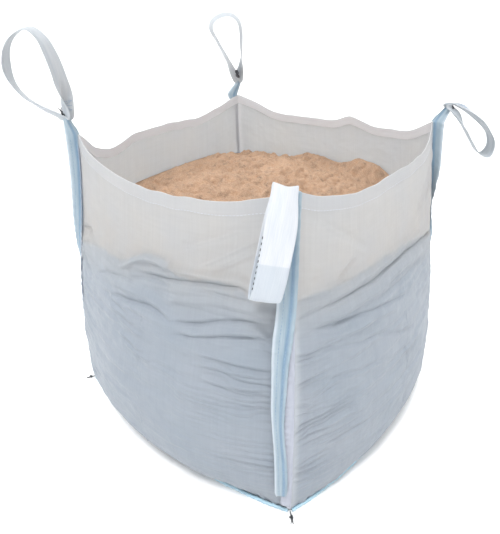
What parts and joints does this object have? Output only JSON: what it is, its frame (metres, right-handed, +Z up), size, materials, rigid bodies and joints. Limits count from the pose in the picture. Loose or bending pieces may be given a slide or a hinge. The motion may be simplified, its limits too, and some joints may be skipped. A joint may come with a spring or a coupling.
{
  "type": "bulk bag",
  "caption": "Open-top woven bulk bag standing full of sand, with webbing sewn down its corner seams and swinging webbing lift loops.",
  "frame": {"origin": "middle of the base, on the floor", "axes": "+Z up; the front panel faces -Y and the right panel +X"},
  "size_m": [1.1209, 1.1259, 1.2057],
  "materials": {
    "woven_fabric": "translucent off-white woven polypropylene, greyer and bluer where the sand backs it",
    "sand": "loose dry orange-brown sand",
    "blue_webbing": "pale blue woven webbing",
    "white_tape": "white woven seam tape",
    "loop_webbing": "white woven polypropylene webbing",
    "thread": "twisted slate-blue polyester thread",
    "knot_thread": "knotted dark thread ends"
  },
  "bodies": {
    "filled_bag": {"sand_fill": "sand", "base_panel": "woven_fabric", "front_panel": "woven_fabric", "front_hem_thread": "thread", "front_base_seam": "blue_webbing", "right_panel": "woven_fabric", "right_hem_thread": "thread", "right_base_seam": "blue_webbing", "back_panel": "woven_fabric", "back_hem_thread": "thread", "back_base_seam": "blue_webbing", "left_panel": "woven_fabric", "left_hem_thread": "thread", "left_base_seam": "blue_webbing", "front_right_corner_webbing": "blue_webbing", "front_right_corner_thread": "thread", "front_right_seam_tape": "white_tape", "front_right_thread_knot": "knot_thread", "back_right_corner_webbing": "blue_webbing", "back_right_corner_thread": "thread", "back_right_seam_tape": "white_tape", "back_right_thread_knot": "knot_thread", "back_left_corner_webbing": "blue_webbing", "back_left_corner_thread": "thread", "back_left_seam_tape": "white_tape", "back_left_thread_knot": "knot_thread", "front_left_corner_webbing": "blue_webbing", "front_left_corner_thread": "thread", "front_left_seam_tape": "white_tape", "front_left_thread_knot": "knot_thread"},
    "front_right_loop": {"front_right_lift_loop": "loop_webbing", "front_right_loop_tack": "thread"},
    "back_right_loop": {"back_right_lift_loop": "loop_webbing", "back_right_loop_tack": "thread"},
    "back_left_loop": {"back_left_lift_loop": "loop_webbing", "back_left_loop_tack": "thread"},
    "front_left_loop": {"front_left_lift_loop": "loop_webbing", "front_left_loop_tack": "thread"}
  },
  "joints": [
    {"name": "front_right_loop_swing", "type": "hinge", "parent": "filled_bag", "child": "front_right_loop", "pos_m": [0.38749, -0.42144, 0.917], "axis": [0.7071, 0.7071, 0], "range_deg": [-250, 0]},
    {"name": "back_right_loop_swing", "type": "hinge", "parent": "filled_bag", "child": "back_right_loop", "pos_m": [0.42426, 0.42426, 0.955], "axis": [-0.7071, 0.7071, 0], "range_deg": [-195, 25]},
    {"name": "back_left_loop_swing", "type": "hinge", "parent": "filled_bag", "child": "back_left_loop", "pos_m": [-0.41012, 0.38467, 0.957], "axis": [-0.7071, -0.7071, 0], "range_deg": [-105, 130]},
    {"name": "front_left_loop_swing", "type": "hinge", "parent": "filled_bag", "child": "front_left_loop", "pos_m": [-0.40022, -0.40022, 0.947], "axis": [0.7071, -0.7071, 0], "range_deg": [-110, 70]}
  ]
}
